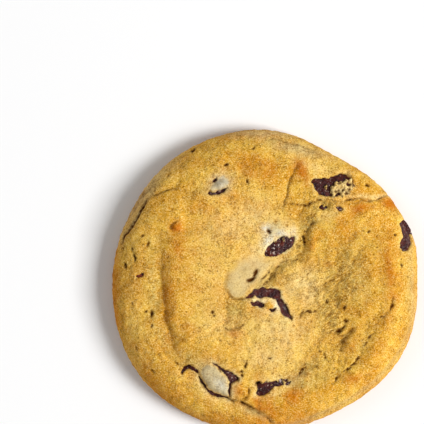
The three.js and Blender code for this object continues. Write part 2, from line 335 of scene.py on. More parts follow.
# Single pits: x, y, half length, half width, turn, depth. On the rim they are slits along it.
PITS = (
    (-33.9, 6.1, 0.8, 0.3, 92, 0.9),
    (-36.3, 4.2, 0.6, 0.28, 95, 0.6),
    (-30, 9.7, 0.7, 0.25, 95, 0.5),
    (-31.7, 11.8, 0.4, 0.3, 60, 0.5),
    (-29.3, -8.6, 0.8, 0.32, 100, 0.9),
    (-30.9, -7.9, 0.4, 0.28, 0, 0.5),
    (-29.3, -11.6, 0.5, 0.28, 90, 0.5),
    (-34.4, -5.7, 0.5, 0.22, 95, 0.4),
    (-13.5, -7.7, 0.45, 0.32, 100, 0.6),
    (-13.1, -8.7, 0.4, 0.28, 60, 0.6),
    (20.7, -6.9, 0.6, 0.32, 90, 0.8),
    (20.9, -10.2, 0.6, 0.35, 40, 0.8),
    (20.4, -11.9, 0.7, 0.35, 50, 0.9),
    (19.2, -12.8, 0.8, 0.45, 10, 0.9),
    (16.2, -5.2, 0.6, 0.26, 90, 0.6),
    (1.2, -19.8, 0.35, 0.3, 0, 0.5),
    (27, 25, 0.5, 0.35, -20, 0.5),
    (33.8, 12.2, 0.3, 0.3, 0, 0.4),
    (35.4, 4.2, 0.6, 0.28, 100, 0.6),
    (26.9, 12.9, 0.45, 0.3, 60, 0.5),
    (-4.5, 26, 0.5, 0.28, -40, 0.5),
    (-10, 30.3, 0.6, 0.28, 20, 0.5),
    (-18.6, 34.2, 0.5, 0.25, 30, 0.4),
    (-3, 34.6, 0.4, 0.25, 10, 0.4),
    (1.1, 12.9, 0.7, 0.35, -70, 0.8),
    (-4.9, -21.6, 0.65, 0.3, 75, 0.8),
    (-6.1, -23.2, 0.35, 0.3, 0, 0.6),
    (-5.9, -24.2, 0.4, 0.3, 60, 0.6),
)


def fading(share, start, full):
    """1 along a line, falling off at both ends: share is how far along it is, 0 to 1."""
    return ease(share, start, full) * ease(1 - share, start, full)


def soft_relief(x, y):
    """How far the folds, grooves and mounds lift the top, before anything fine."""
    height = np.zeros(x.shape)
    for lift, width, reach, line in FOLDS:
        distance, left, share = beside_line(smooth_line(line), x, y)
        step = np.where(left, (1 - np.exp(-distance / width)) * np.exp(-distance / reach), 0)
        height += lift * step * fading(share, 0, 0.12)
    for half_width, depth, line in GROOVES:
        distance, _, share = beside_line(smooth_line(line), x, y)
        height -= depth * bell(distance, half_width) * fading(share, -0.1, 0.15)
    for *place, rise in MOUNDS:
        height += rise * patch(x, y, place)
    return height


# Where the chips show: how pale and dry the dough is round each, and the outlines of the chocolate
# seen through the crust.
CHIP_OPENINGS = {
    "chip_upper_right": (
        0.4,
        (
            (12, 26), (12.8, 27), (14.6, 26.9), (16.4, 26.8), (18, 27.5), (20.1, 28.4), (22.4, 27.4),
            (22.9, 26), (22.2, 23.6), (20.4, 22.8), (19, 22.4), (17.6, 22), (16, 22.1),
            (13.9, 22.6), (13, 24.3),
        ),
    ),
    "chip_upper_right_fragment": (
        0.25,
        ((14, 19.2), (14.7, 19.8), (16, 19.5), (16.3, 18.9), (15, 18.7)),
        ((18.3, 19.4), (19.5, 19.3), (20.1, 18.6), (19.5, 18.1), (18.8, 18.7)),
    ),
    "chip_centre": (
        1.0,
        (
            (0, 6.8), (0.4, 8.5), (1.6, 9.8), (3.2, 10.7), (4.9, 11.8), (6.4, 11.5), (7.8, 11.8),
            (7.4, 10), (6.2, 8.6), (4.2, 7.4), (2, 6.7),
        ),
    ),
    "chip_hooked": (
        0.8,
        (
            (-4.9, -4.2), (-3.8, -2.9), (-2.4, -2), (-0.8, -1.6), (1, -1.8), (2.8, -1.9), (3.8, -2.6),
            (4.3, -4.3), (5.4, -5.9), (6.2, -7.8), (7.4, -9.9), (5.7, -9.3), (4.4, -8.2), (3.6, -6.4),
            (3, -4.9), (2, -4.2), (0, -4.1), (-1.6, -4.4), (-2.4, -3.7), (-3.4, -4.2),
        ),
        (
            (-3.9, -5), (-2.9, -5.2), (-2, -4.9), (-1.2, -5.2), (0, -5.9), (-0.7, -6.8), (-2.2, -6.4),
            (-3.3, -5.9),
        ),
        ((0.6, -6.9), (1.6, -7.1), (3, -6.7), (2.6, -7.5), (1.4, -7.7)),
    ),
    "chip_right_edge": (
        0.35,
        (
            (35.2, 14.4), (36.2, 15.9), (37.1, 14.9), (38, 13.2), (38.4, 10.6), (37.9, 8.7), (36.5, 7.8),
            (35.1, 8.7), (35.2, 10), (35.9, 11), (35.9, 12.8),
        ),
    ),
    "chip_bottom": (
        0.7,
        (
            (-2.5, -26.1), (-1.6, -25.9), (-0.7, -26.3), (0.6, -25.9), (2.6, -25.9), (4.5, -25.3),
            (6.7, -25.8), (6.3, -26.6), (4, -26.8), (2.1, -27.6), (0.8, -28.9), (-0.9, -29.9),
            (-2.2, -29), (-1.8, -27.4),
        ),
    ),
    "chip_lower_left": (
        0.7,
        (
            (-17.3, -24.7), (-16.2, -25.7), (-15.1, -27.4), (-13.6, -29), (-11.6, -29.6), (-9.1, -30.6),
            (-11.8, -30.3), (-13.6, -29.9), (-15.2, -28.5), (-16.8, -26.5),
        ),
        (
            (-13.5, -21), (-11.6, -21.9), (-9.5, -23.1), (-7.8, -24.1), (-6.4, -25.1), (-7.3, -26),
            (-8.5, -26.5), (-8.7, -27.8), (-9, -29.9), (-9.6, -28), (-9.2, -26.2), (-9.7, -25.1),
            (-10.8, -23.7), (-12.2, -22.3),
        ),
    ),
    "chip_lower_left_sliver": (
        0.2,
        (
            (-22, -23.5), (-21, -22), (-19.6, -21.6), (-18.3, -22.4), (-17.2, -24), (-18.4, -23.3),
            (-19.5, -22.8), (-20.6, -23.2), (-21.3, -24.4),
        ),
    ),
    "chip_upper_left": (
        0.5,
        ((-14, 26), (-13.2, 26.7), (-12.2, 26.9), (-12.7, 25.9)),
        ((-14.9, 22.6), (-14.6, 23.5), (-13, 23.2), (-11.2, 24), (-9.7, 24.3), (-10.6, 23.1), (-12.4, 22.5)),
    ),
    "chip_left_fleck": (0.15, ((-33.6, 1.4), (-32.5, 2.1), (-31.5, 2.1), (-31.8, 1.4), (-32.8, 1))),
}

# The tongue: smooth pale dough that lies over what is beside it. Its foot is the stretch where its
# edge overhangs, and its tip is where its colour starts sharply. Both are soft oval patches.
TONGUE_RISE = 0.9
TONGUE_EDGE = 2.2
TONGUE = (
    (-10.3, 0.3), (-9.8, 2.6), (-8.4, 4.8), (-6, 6.6), (-2.5, 7.2), (1.5, 6.4), (5, 5.9), (2.9, 3.6),
    (1.2, 1.4), (0, -0.7), (-2.1, -1.7), (-3.6, -3), (-5, -4.1), (-7.1, -4.4), (-8.6, -3.8),
    (-9.6, -2.6), (-10.2, -1.2),
)
TONGUE_FOOT = (-7.4, -3.8, 4, 2.4, -35)
TONGUE_TIP = (-8.4, -3, 5, 3, -50)

# A golden bead of dough inside the hook.
BEAD = (1.2, -6.1, 1.1, 1.1, 0)
BEAD_RISE = 0.9

# Skins: pale dough dried over a chip: how far they dome up, how much of the chocolate under them
# shows through, and their outlines.
SKINS = (
    (
        0.5, 0.08,
        (
            (-16.6, -23.5), (-15.9, -22.1), (-14.4, -21.4), (-12.5, -22.3), (-10.7, -24.2), (-9.5, -26.2),
            (-9.3, -29.6), (-11.2, -29.4), (-13.6, -28.4), (-15, -26.8), (-16.2, -25.2),
        ),
    ),
    (
        0.35, 0.33,
        (
            (-14.3, 23.8), (-13.6, 25.2), (-12.2, 26.6), (-11, 27.4), (-9.3, 26.8), (-9.4, 25.4),
            (-10.4, 24.3), (-12.2, 23.6),
        ),
    ),
)

# Soft oval patches of colour and texture: x, y, half length, half width, turn, strength.
# Browned: what stood highest or lay thin, and the rim next to the sheet. A few rows are painted
# shade instead: the left edge, facing away from the light, and the left valley.
BROWNED_AND_SHADED = (
    (-22.6, 9, 5, 1.1, 92, 0.55),
    (-24, -3, 10, 1.1, 94, 0.35),
    (-20, -13, 5, 2.6, 110, 0.2),
    (-22.9, 14.2, 1.6, 1.5, 0, 1.0),
    (-20, 6, 3, 8, 0, 0.15),
    (28, 9, 6, 10, 10, 0.2),
    (0, -36, 20, 4, 0, 0.35),
    (-8, 21, 5, 2, 20, 0.2),
    (-26, -26, 16, 5, -45, 0.2),
    # painted shade in the left valley
    (-25.7, -5, 12, 1.1, 93, 0.45),
    (-2, 29.5, 7, 3, 0, 0.55),
    (9.4, 29.6, 1.8, 3, 20, 0.8),
    (10.6, 26.6, 1.2, 2.4, 20, 0.4),
    (24.4, 18.9, 2, 1.4, 10, 0.85),
    (29, 19.8, 5, 1.2, 5, 0.4),
    (33, 20.2, 2.6, 1.8, -35, 0.9),
    (16.4, 4.4, 1.2, 1.8, 60, 0.6),
    (23.4, -15.2, 3.6, 1.3, 64, 0.45),
    (9, -27.8, 4, 1.2, 25, 0.4),
    (22.9, -25, 1.9, 1.4, 10, 0.85),
    (-1, -32, 4, 2.2, -25, 0.7),
    (7.2, -29.6, 3, 2, 25, 0.7),
    (-7, -28.4, 1.8, 2.2, -10, 0.7),
    (-16, 18, 5, 3, 20, 0.2),
    (12.2, 9.4, 1.2, 2.2, -15, 0.6),
    (32.4, 2, 9, 1.7, 95, 0.65),
    (31.4, -12, 9, 2.2, 75, 0.3),
    (29, -22, 8, 3, 55, 0.15),
    (-8.3, -13.1, 2.2, 1.0, 5, 0.65),
    (-21, -21, 2, 5, 40, 0.1),
    # painted shade on the left edge, which faces away from the light
    (-39.2, -2, 22, 1.5, 90, 0.65),
    (-33.6, 20.6, 9, 1.5, 54, 0.55),
    (-20, 33, 12, 2.4, 32, 0.3),
    (-28, -28.5, 15, 2.4, -45, 0.45),
    (0, 38.4, 18, 2, 0, 0.25),
    (-2, -38, 18, 2.8, 0, 0.5),
    (1.2, -6.0, 0.9, 0.9, 0, 0.3),
    (20, 14, 5, 2, 40, 0.25),
)
# Pale: what was covered while it baked, or lies round a chip.
PALE = (
    (-4, 2, 5.6, 4, 38, 0.5),
    (4.4, 5.6, 3, 1.4, 20, 0.4),
    (4.8, 13.6, 3, 2, -10, 1.0),
    (12, -2, 3, 4.4, 0, 0.6),
    (1.2, 11.8, 3.4, 2, 52, 1.0),
    (0.2, 8.6, 2, 1.4, 60, 0.8),
    (-2.5, 7.6, 3, 2, 30, 0.5),
    (-2, 17, 6, 6, 0, 0.3),
    (9, 0.6, 4, 3.4, 30, 0.45),
    (6.4, -2.4, 2.6, 2.4, 0, 0.3),
    (2.4, -5.6, 3.2, 2, -40, 1.0),
    (-2.6, -4.6, 2.4, 1, -10, 0.9),
    (4, -12, 8, 6, 0, 0.5),
    (1, -20, 7, 3.4, 0, 0.4),
    (-12, -11, 6, 4, 0, 0.3),
    (-8, 14, 8, 4, 20, 0.3),
    (-14, 2, 6, 8, 0, 0.2),
    (-14, 17, 5, 3, 20, 0.1),
    (-34, -6, 3, 24, 0, 0.1),
    (-31, 24.6, 13, 2.6, 50, 0.4),
    (20, 24, 2.4, 1.6, 10, 0.9),
    (17, 17.6, 3.4, 1.6, 30, 0.35),
    (28, 22.2, 6, 0.6, 4, 0.6),
    (13, 29.4, 5, 1.6, -20, 0.35),
    (-14, -25.8, 4.6, 3, -50, 0.6),
    (3, -25, 5, 1.2, 8, 0.4),
    (3.2, -29, 2.6, 0.8, 30, 0.4),
)
# Olive: dull crumb in the hollows and torn places; in the valleys and hollows it is partly painted
# shade, as in the left valley and above the lower-left chip.
OLIVE_AND_SHADE = (
    (17, -9, 4, 8, 12, 0.55),
    (-0.6, -0.4, 2.2, 1, 45, 0.9),
    (8.7, 9.4, 1.1, 2.4, -20, 0.8),
    (11, -26.6, 4, 1.2, 20, 0.5),
    (18.4, 1, 5, 4.4, 0, 0.5),
    (6, 5, 4.4, 1.6, 32, 0.75),
    (10.6, 14, 2.4, 2, 45, 0.7),
    (1.8, 1.2, 3, 1.4, 55, 0.7),
    (-7.2, -7.8, 2.8, 3.4, 0, 0.7),
    # painted shade in the left valley
    (-28.8, -3, 14, 1.8, 92, 0.75),
    (9, 34.6, 8, 1.6, -14, 0.5),
    (24, 2, 3, 7, 0, 0.55),
    (37.4, 0, 1.6, 14, 0, 0.5),
    (-9, -11.6, 3, 1, 5, 0.4),
    (12.2, 15.4, 2.8, 1.4, 45, 0.85),
    (13, 20, 5, 1.6, 5, 0.5),
    # painted shade above the lower-left chip
    (-19, -20.8, 4.6, 1.9, -40, 0.85),
    (11, -22.6, 5, 2, 30, 0.75),
    (13, -25.4, 6, 1.7, 15, 0.55),
    (-25.4, -16.5, 5, 1.3, -62, 0.5),
    (22, -2, 6, 4, 0, 0.35),
    (19.4, -16, 1.6, 4, -20, 0.3),
    (26, -15.6, 4.6, 1.2, 62, 0.6),
    (20.6, 7.4, 2, 3, 20, 0.5),
    (-20.5, 21.8, 8, 1.6, 20, 0.35),
    (16.4, 29.6, 3, 1, -20, 0.4),
    (-3, -34, 5, 1, -28, 0.6),
)
# Dusty: dry and greyish, as on the rim's outside and the skins over chips. One narrow row is a
# painted highlight along the upper-left fold.
DUSTY_AND_HIGHLIGHT = (
    (-31, 24.6, 14, 2.6, 50, 0.3),
    (-36.6, 14, 6, 1.6, 70, 0.2),
    (9, 34.4, 8, 1.6, -14, 0.5),
    (0, 38.6, 14, 1.2, 0, 0.5),
    # painted highlight along the upper-left fold
    (-33.4, 16.6, 7, 0.45, 56, 0.55),
    (-33, 20.8, 8, 1.6, 52, 0.15),
    (26, 31, 14, 1.5, -42, 0.75),
    (36.4, 19, 8, 0.8, -62, 0.5),
    (-11, 25.2, 3, 2.6, 30, 0.5),
    (8.4, -25.2, 3, 1.2, 25, 0.25),
    (38.6, -4, 1, 14, 2, 0.35),
    (-3, -34, 5, 0.8, -28, 0.3),
)
# Floured: nearly white, beside the centre chip, in the hook and on the skins.
FLOURED = (
    (1.1, 10.5, 1.8, 1.5, 50, 1.0),
    (0.5, 13.8, 1.5, 1.2, 0, 0.9),
    (4.4, 12.5, 2.6, 1, -12, 0.9),
    (7.6, 13, 0.8, 1.2, 0, 0.5),
    (3.4, -5.8, 1.3, 1.7, -30, 0.8),
    (-0.6, -5, 1.8, 0.6, -20, 0.5),
    (-11.6, -26.6, 2, 1.1, -50, 0.8),
    (-11.4, 25.6, 2, 1.8, 0, 0.6),
)
# Gritty: coarse open crumb.
GRITTY = (
    (17, -9, 5, 12, 10, 1.0),
    (19, 2, 7, 6, 0, 0.8),
    (9, -6, 4, 6, 0, 0.25),
    (8.7, 9.4, 1.1, 2.4, -20, 0.9),
    (-0.6, -0.4, 2, 0.9, 45, 0.9),
    (7, 5.2, 6, 1.8, 30, 1.0),
    (2, 1.6, 2.6, 1.2, 55, 0.9),
    (-7, -7.8, 3.2, 3.6, 0, 0.8),
    (13, 16.6, 3.6, 2.4, 40, 0.9),
    (13, 20, 6, 2, 5, 0.9),
    (19, -17, 4, 6, 0, 0.5),
    (27, -13, 5.6, 1.6, 62, 0.7),
    (20, 23.8, 2.4, 1.8, 10, 1.0),
    (24, 8, 6, 5, 0, 0.5),
    (11, -22.6, 6, 2.6, 20, 0.9),
    (-36, 0, 2.6, 22, 0, 0.2),
    (-30, 24, 14, 3, 50, 0.4),
)
# Crumbly: where crumbs lie on the chocolate.
CRUMBLY = (
    (18.1, 24.1, 2.8, 1.7, 32, 1.0),
    (20.6, 23.8, 2, 1.8, 0, 1.0),
    (22.1, 26, 1.2, 1.6, 0, 0.7),
    (3.4, 10.4, 2.4, 0.7, 30, 0.5),
    (6.2, 10.8, 1.4, 0.8, 30, 0.45),
    (4.8, -26, 2.6, 0.6, 15, 0.6),
    (-11.8, -22.6, 2, 0.4, -40, 0.4),
    (15.2, 19.2, 2, 0.7, 0, 0.3),
)


def patches(x, y, places):
    """Soft patches laid over each other, 0 to 1."""
    bare = np.ones(x.shape)
    for *place, strength in places:
        bare *= 1 - strength * patch(x, y, place)
    return 1 - bare


def disc_grid(count):
    """A square grid of count steps each way, bent into a disc of radius 1: x, y and the quads."""
    line = np.linspace(-1, 1, count + 1)
    a, b = np.meshgrid(line, line)
    wide = np.abs(a) > np.abs(b)
    reach = np.where(wide, a, b)
    other = np.where(wide, b, a)
    turn = math.pi / 4 * other / np.where(reach == 0, 1, reach)
    turn = np.where(wide, turn, math.pi / 2 - turn)
    index = np.arange((count + 1) ** 2).reshape(count + 1, count + 1)
    quads = np.stack([index[:-1, :-1], index[:-1, 1:], index[1:, 1:], index[1:, :-1]], axis=-1)
    rim = np.concatenate([index[0, :-1], index[:-1, -1], index[-1, :0:-1], index[:0:-1, 0]])
    return (reach * np.cos(turn)).ravel(), (reach * np.sin(turn)).ravel(), quads.reshape(-1, 4), rim


TOP_STEPS = 264  # quads across the top
UNDER_RINGS = 7  # rings of quads from the widest line down to the foot
UNDERSIDE_STEPS = TOP_STEPS // 2

# The plain side from the top's middle to the widest line, as shares, heights and distance walked.
SIDE_STEPS = 600
side_share = np.sin(np.linspace(0, math.pi / 2, SIDE_STEPS))
side_height = plain_top(side_share)
side_step = np.hypot(np.diff(side_share) * MEAN_RADIUS, np.diff(side_height))
side_walked = np.concatenate([[0], np.cumsum(side_step)])
side_slope = np.arctan2(-np.gradient(side_height), np.gradient(side_share) * MEAN_RADIUS)


def outward(direction, slope):
    """Unit vectors that face a direction and lean out from straight up by slope, in radians."""
    return around_centre(np.sin(slope), direction, np.cos(slope))


# The top, from its middle to the widest line.
grid_x, grid_y, top_quads, top_rim = disc_grid(TOP_STEPS)
direction = np.arctan2(grid_y, grid_x)
walk = np.hypot(grid_x, grid_y) * side_walked[-1]
share = np.interp(walk, side_walked, side_share)
radius = share * outline_radius(direction)
slope = np.interp(walk, side_walked, side_slope)
top_plain = around_centre(radius, direction, plain_top(share))
top_normal = outward(direction, slope)

# Everything drawn on the top is bent a little, so that no line runs ruler-straight.
bend_x = 0.5 * lumps(top_plain, 4, 1) + 0.22 * lumps(top_plain, 1.3, 2)
bend_y = 0.5 * lumps(top_plain, 4, 3) + 0.22 * lumps(top_plain, 1.3, 4)
x = top_plain[:, 0] + bend_x
y = top_plain[:, 1] + bend_y
ragged_x = top_plain[:, 0] + 0.3 * bend_x + 0.34 * lumps(top_plain, 1.1, 5)
ragged_y = top_plain[:, 1] + 0.3 * bend_y + 0.34 * lumps(top_plain, 1.1, 6)
inner = 1 - share**12

gritty = patches(x, y, GRITTY)
browned_and_shaded = patches(x, y, BROWNED_AND_SHADED)
pale = patches(x, y, PALE)
olive_and_shade = patches(x, y, OLIVE_AND_SHADE)
dusty_and_highlight = patches(x, y, DUSTY_AND_HIGHLIGHT)
floured = patches(ragged_x, ragged_y, FLOURED)

height = soft_relief(x, y) * (1 - share**EDGE_SHARPNESS)
depth = inside_depth(smooth_line(TONGUE, closed=True, steps=4), ragged_x, ragged_y)
height += TONGUE_RISE * (1 - np.exp(-np.maximum(depth, 0) / TONGUE_EDGE))
height -= 0.5 * bell(depth + 0.2, 0.28) * patch(x, y, TONGUE_FOOT)
# painted shadow along the tongue's foot, where its edge overhangs
crevice_shade = 0.8 * bell(depth + 0.2, 0.28) * patch(x, y, TONGUE_FOOT)
smooth = ease(depth, -0.2, 0.8)
paling_width = 2.6 - 2 * patch(x, y, TONGUE_TIP)
pale = np.maximum(pale, 0.5 * ease(depth / paling_width, -0.1, 1))
dusty_and_highlight = np.maximum(dusty_and_highlight, 0.5 * ease(depth / paling_width, -0.1, 1))
gritty *= 1 - smooth

# The crust's unevenness, from swells 8 mm across down to crumb under 1 mm. The smooth dough keeps
# only a quarter of the two finest.
rough = 1 - 0.75 * smooth
height += 0.5 * lumps(top_plain, 8, 10) * inner
height += (0.32 + 0.25 * gritty) * lumps(top_plain, 3.6, 11) * inner
height += 0.17 * lumps(top_plain, 1.6, 12) * rough
height += 0.1 * lumps(top_plain, 0.85, 13) * rough

# The creases, cracks and pits are cut in, with painted shade inside them.
torn_x = x + 0.3 * lumps(top_plain, 0.8, 7)
torn_y = y + 0.3 * lumps(top_plain, 0.8, 8)
along_crease = np.clip(0.85 + 1.2 * lumps(top_plain, 0.9, 20), 0.3, 1.3)
along_crack = np.clip(0.7 + 1.9 * lumps(top_plain, 0.8, 21), 0, 1.3)
unevenness = 0.8 + 0.6 * lumps(top_plain, 1.6, 14)
for lines, at_x, at_y, broken in ((CREASES, x, y, along_crease), (CRACKS, torn_x, torn_y, along_crack)):
    for half_width, depth, darkness, line in lines:
        distance, _, along = beside_line(smooth_line(line), at_x, at_y)
        taper = fading(along, -0.02, 0.2) * unevenness
        height -= depth * bell(distance, half_width) * taper
        crevice_shade = np.maximum(crevice_shade, darkness * bell(distance, 0.7 * half_width) * taper * broken)
for *place, depth in PITS:
    cut = patch(ragged_x, ragged_y, place)
    height -= depth * cut
    crevice_shade = np.maximum(crevice_shade, 1.8 * cut)

# Coarse places: rounded crumbs with cracks between them, drawn out from lower left to upper right.
SLANT = 42  # degrees from +X
slant = math.radians(SLANT)
along_slant = x * math.cos(slant) + y * math.sin(slant)
across_slant = y * math.cos(slant) - x * math.sin(slant)
drawn_out = points(along_slant, across_slant, top_plain[:, 2])
crumb = np.abs(lumps(drawn_out, (3.4, 2.0, 2.6), 15))
fine_crumb = np.abs(lumps(drawn_out, (1.7, 1.0, 1.3), 16))
height += gritty * (0.42 * crumb + 0.42 * fine_crumb - 0.22)
crack = ease(-crumb, -0.16, -0.02) * ease(lumps(top_plain, 4, 17), -0.15, 0.3)
fine_crack = ease(-fine_crumb, -0.22, -0.03) * ease(lumps(top_plain, 2.4, 18), 0, 0.45)
height -= 0.3 * crack * (0.1 + gritty) + 0.15 * fine_crack * (0.25 + gritty)
# painted shade in the cracks between the crumbs
crevice_shade = np.maximum(crevice_shade, 0.4 * crack * (0.05 + gritty))
crevice_shade = np.maximum(crevice_shade, 0.5 * fine_crack * (0.2 + gritty))

# Pores: small holes left by steam, larger on the left rim than in the middle.
# On the rim they are drawn out along it.
left_rim = ease(-x, 24, 30)
ragged = points(0.6 * ragged_x, ragged_y, top_plain[:, 2])
fine_pores = pores(ragged, 1.25, 0.36, 30)
rim_walk = np.arctan2(ragged_y, -ragged_x) * MEAN_RADIUS
along_rim = points(np.hypot(ragged_x, ragged_y), 0.4 * rim_walk, top_plain[:, 2])
slits = pores(along_rim, 1.7, 0.5, 40)
height -= 0.25 * fine_pores * (0.4 + 0.6 * gritty + 0.4 * left_rim) + 0.5 * slits * left_rim
# painted shade inside the pores and slits
crevice_shade = np.maximum(crevice_shade, 0.7 * ease(fine_pores, 0.1, 0.6) * (0.5 + 0.5 * gritty))
crevice_shade = np.maximum(crevice_shade, 0.85 * ease(slits, 0.1, 0.6) * left_rim)

# A thin skirt of dough spread on the sheet past the rounded edge, on the right and lower right.
facing = np.degrees(direction)
skirted = ease(facing, -105, -75) * (1 - ease(facing, -14, 14))
inset = outline_radius(direction) - radius
skirt_width = 0.8 + 0.7 * bell(facing + 48, 26) + 0.2 * lumps(top_plain, 6, 19)
skirt_groove = bell(inset - skirt_width, 0.55) * skirted
height -= 0.3 * skirt_groove
# painted shade in the skirt's groove
crevice_shade = np.maximum(crevice_shade, 0.12 * skirt_groove)
# a pale line along the skirt, partly dry dough and partly painted highlight
dusty_and_highlight = np.maximum(dusty_and_highlight, 0.28 * bell(inset - skirt_width, 0.8) * skirted)
browned_and_shaded = np.maximum(browned_and_shaded, 0.15 * ease(skirt_width - inset, -0.2, 0.3) * skirted)

# The openings over the chips, the dry pale dough round each, and the skins.
OPENING_DEPTH = 1.7
LIP_RISE = 0.1
LIP_AWAY = 0.8
HALO_WIDTH = 0.9
opened = np.zeros(len(x))
halo = np.zeros(len(x))
pale *= 1 - 0.8 * ease(browned_and_shaded, 0.3, 0.9)
crumbs = ease(0.6 * lumps(top_plain, 1.1, 50) + patches(x, y, CRUMBLY), 0.45, 0.6)
crumb_tops = lumps(top_plain, (0.9, 0.7, 0.8), 52)
for dryness, *outlines in CHIP_OPENINGS.values():
    for outline in outlines:
        depth = inside_depth(smooth_line(outline, closed=True, steps=3), ragged_x, ragged_y)
        height += LIP_RISE * bell(depth + LIP_AWAY, 0.6)
        height -= OPENING_DEPTH * ease(depth, -0.15, 0.4) * (1 - crumbs)
        opened = np.maximum(opened, ease(depth, -0.15, 0.3) * (1 - crumbs))
        halo = np.maximum(halo, dryness * bell(np.maximum(0, -depth), HALO_WIDTH))
pale = np.maximum(pale, halo * (0.6 + 0.9 * lumps(top_plain, 1.6, 51)))
pale = np.maximum(pale, 0.8 * crumbs)
gritty = np.maximum(gritty, 0.9 * crumbs)
height += crumbs * (0.35 + 0.6 * crumb_tops)
# painted shade between the crumbs that lie on the chips
crevice_shade = np.maximum(crevice_shade, 0.9 * crumbs * ease(-crumb_tops, 0.1, 0.3))
bead = patch(ragged_x, ragged_y, BEAD)
height += BEAD_RISE * bead
for dry in (pale, dusty_and_highlight, floured):
    dry *= 1 - np.minimum(1, 1.6 * bead)
browned_and_shaded = np.maximum(browned_and_shaded, 0.4 * bead)
skin = np.zeros(len(x))
for rise, thinness, outline in SKINS:
    depth = inside_depth(smooth_line(outline, closed=True, steps=3), ragged_x, ragged_y)
    height += rise * ease(depth, -0.2, 1.2)
    skin = np.maximum(skin, ease(depth, -0.3, 0.4))
    thin_spots = 1 + 1.2 * lumps(top_plain, 1.3, 53)
    opened = np.maximum(opened, thinness * ease(depth, 0, 0.8) * thin_spots)
    dusty_and_highlight = np.maximum(dusty_and_highlight, 0.3 * bell(np.maximum(0, -depth), 2))
dusty_and_highlight = np.maximum(dusty_and_highlight, skin)
smooth = np.maximum(smooth, 0.8 * skin)

top_places = top_plain + top_normal * height[:, None]
over = np.maximum(0, top_places[:, 2] - CEILING + CEILING_SOFTNESS)
top_places[:, 2] -= over - CEILING_SOFTNESS * np.tanh(over / CEILING_SOFTNESS)

# The underside's edge, from the widest line down to the flat foot.
rim_direction = direction[top_rim]
rim_radius = outline_radius(rim_direction)
rim_out = height[top_rim]
rings = []
for ring in range(1, UNDER_RINGS + 1):
    swing = ring / UNDER_RINGS * math.pi / 2
    reach = (FOOT_SHARE + (1 - FOOT_SHARE) * math.cos(swing)) * rim_radius
    ring_plain = around_centre(reach, rim_direction, EDGE_HEIGHT * (1 - math.sin(swing)))
    out = rim_out * (1 - ring / UNDER_RINGS) + 0.12 * lumps(ring_plain, 1.2, 12) * (ring / UNDER_RINGS)
    rings.append(ring_plain + around_centre(math.cos(swing) * out, rim_direction, 0))
band_places = np.vstack(rings)

# The flat underside: it took the sheet's level and is fine-pored, with chips lying in it.
BASE_CHIPS = {
    # x, y, half length, half width, turn
    "chip_base_left": (-15, 7, 4.4, 4.1, 20),
    "chip_base_front": (9, -16, 4.5, 3.8, -35),
    "chip_base_right": (19, 12, 3.7, 3.4, 60),
}
BASE_POCKET = 1.4  # how deep the pocket round each of them shows
UNDERSIDE_INSET = 0.012
base_x, base_y, base_quads, base_rim = disc_grid(UNDERSIDE_STEPS)
base_direction = np.arctan2(base_y, base_x)
base_radius = np.hypot(base_x, base_y) * (FOOT_SHARE - UNDERSIDE_INSET) * outline_radius(base_direction)
base_places = around_centre(base_radius, base_direction, 0)
base_pores = pores(base_places, 1.7, 0.7, 60)
base_wide = pores(base_places, 4.5, 1.3, 70)
hollow = 0.35 * base_pores + 0.6 * base_wide + 0.05 + 0.05 * lumps(base_places, 2.2, 61)
# painted shade in the underside's pores
base_pore_shade = np.maximum(0.5 * ease(base_pores, 0.1, 0.7), 0.6 * ease(base_wide, 0.1, 0.6))
base_opened = np.zeros(len(base_x))
for place in BASE_CHIPS.values():
    # 0 in the chip's middle and 1 at its edge
    oval = np.sqrt(-np.log(np.maximum(patch(base_places[:, 0], base_places[:, 1], place), 1e-9)))
    oval += 0.05 * lumps(base_places, 2.5, 62)
    hollow += BASE_POCKET * ease(-oval, -1.02, -0.94)
    base_opened = np.maximum(base_opened, ease(-oval, -1.08, -0.96))
base_places[:, 2] += np.maximum(0, hollow)

# One closed mesh: top, edge band, a ring where two edges meet one, and underside.
top_count = len(top_places)
band_count = len(band_places)
around = len(top_rim)
loops = [top_rim] + [top_count + k * around + np.arange(around) for k in range(UNDER_RINGS)]
faces = [tuple(map(int, quad)) for quad in top_quads]
for upper, lower in zip(loops, loops[1:]):
    for i in range(around):
        j = (i + 1) % around
        faces.append((int(lower[i]), int(lower[j]), int(upper[j]), int(upper[i])))
base_start = top_count + band_count
base_loop = base_start + base_rim
last = loops[-1]
for i in range(len(base_loop)):
    j = (i + 1) % len(base_loop)
    first, middle, third = last[2 * i], last[2 * i + 1], last[(2 * i + 2) % around]
    near, far = base_loop[i], base_loop[j]
    faces.append((int(near), int(middle), int(first)))
    faces.append((int(near), int(far), int(middle)))
    faces.append((int(far), int(third), int(middle)))
faces += [tuple(int(base_start + v) for v in quad[::-1]) for quad in base_quads]


def smooth_mesh(name, places, faces):
    """A smooth-shaded mesh, from places in millimetres."""
    mesh = bpy.data.meshes.new(name)
    mesh.from_pydata((places * MM).tolist(), [], faces)
    mesh.update()
    mesh.polygons.foreach_set("use_smooth", np.ones(len(mesh.polygons), bool))
    return mesh


def write_mask(mesh, name, values):
    """One number from 0 to 1 for each point of a mesh, which its material reads."""
    attribute = mesh.attributes.new(name, "FLOAT", "POINT")
    attribute.data.foreach_set("value", np.clip(values, 0, 1).astype(np.float32))


dough_mesh = smooth_mesh("cookie_dough", np.vstack([top_places, band_places, base_places]), faces)

